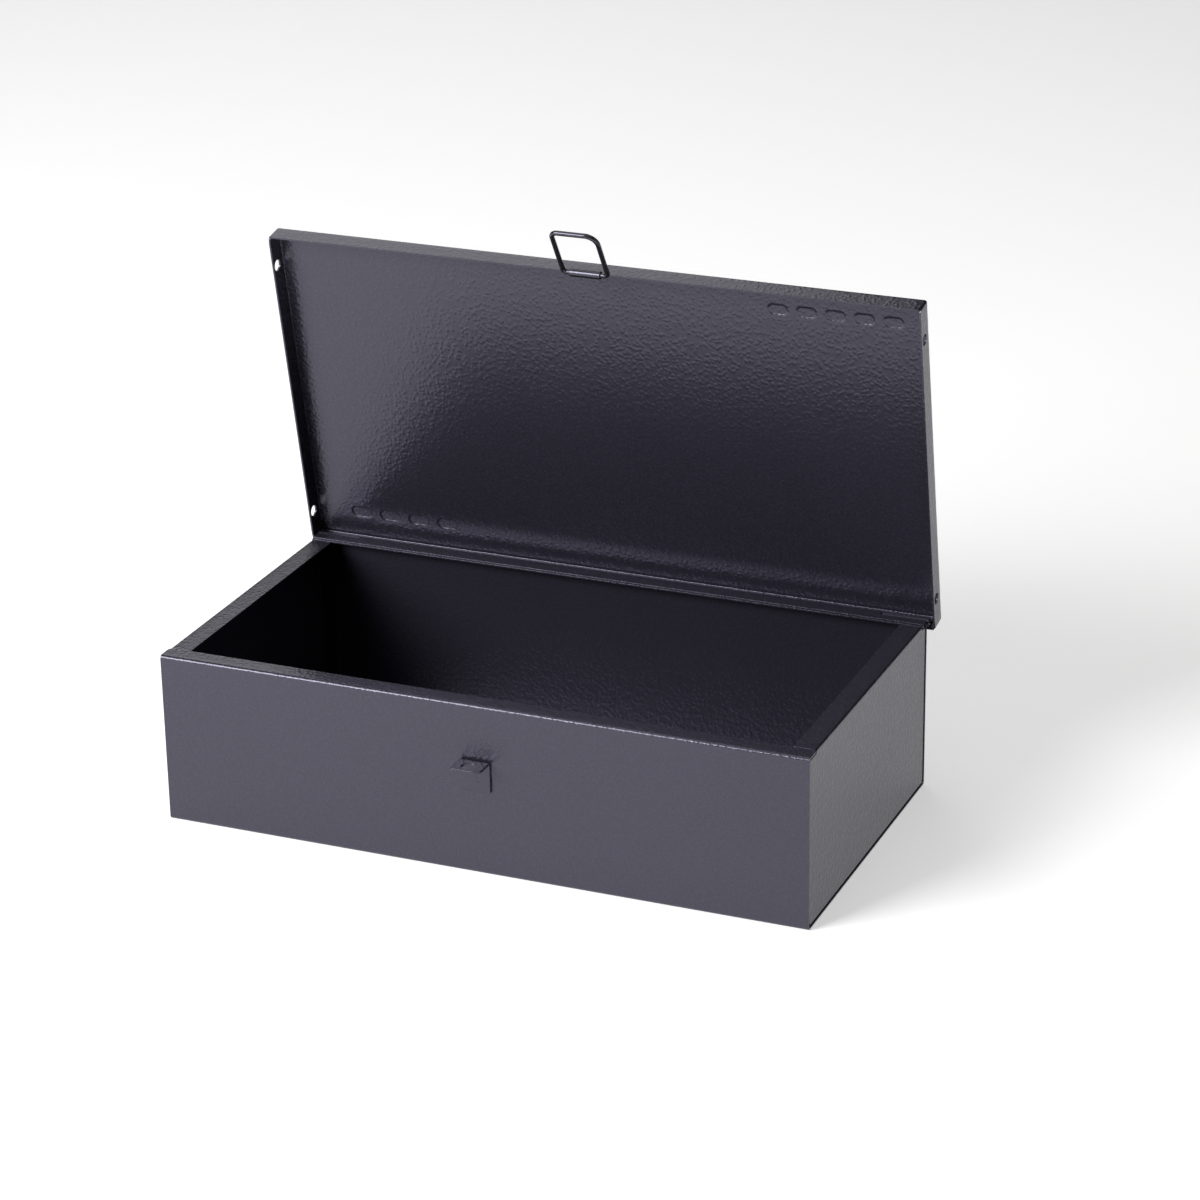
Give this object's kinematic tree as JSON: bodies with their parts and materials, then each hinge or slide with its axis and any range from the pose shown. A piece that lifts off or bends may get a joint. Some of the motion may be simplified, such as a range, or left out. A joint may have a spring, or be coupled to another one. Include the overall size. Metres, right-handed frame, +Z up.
{
  "type": "hinged steel storage box with bail latch",
  "caption": "Shallow rectangular sheet-steel box with a hinged tray lid, a wire bail on the lid's front edge and a padlock bracket on the front panel.",
  "frame": {"origin": "middle of the underside of the box's floor", "axes": "+X to the right along the hinge, +Y to the back, +Z up"},
  "size_m": [0.409, 0.2336, 0.3395],
  "materials": {
    "body_paint": "satin hammered dark grey powder coat",
    "end_paint": "satin hammered dark grey powder coat",
    "lid_paint": "satin hammered dark grey powder coat",
    "hinge_paint": "satin hammered dark grey powder coat",
    "bracket_paint": "satin hammered dark grey powder coat",
    "bail_paint": "smooth glossy dark grey paint",
    "pin_steel": "plain drawn wire"
  },
  "bodies": {
    "box": {"body_wrapper": "body_paint", "end_panel_left": "end_paint", "end_panel_right": "end_paint", "hinge_leaf_body": "hinge_paint", "hinge_pin": "pin_steel", "catch_bracket": "bracket_paint"},
    "lid": {"lid_pan": "lid_paint", "hinge_leaf_lid": "hinge_paint", "bail_strap": "bail_paint"},
    "bail": {"bail_wire": "bail_paint"}
  },
  "joints": [
    {"name": "lid_hinge", "type": "hinge", "parent": "box", "child": "lid", "pos_m": [0, 0.105, 0.1034], "axis": [-1, 0, 0], "range_deg": [-79.4, 21]},
    {"name": "bail_pivot", "type": "hinge", "parent": "lid", "child": "bail", "pos_m": [0.0028, 0.06164, 0.30954], "axis": [-1, 0, 0], "range_deg": [-69, 80]}
  ]
}
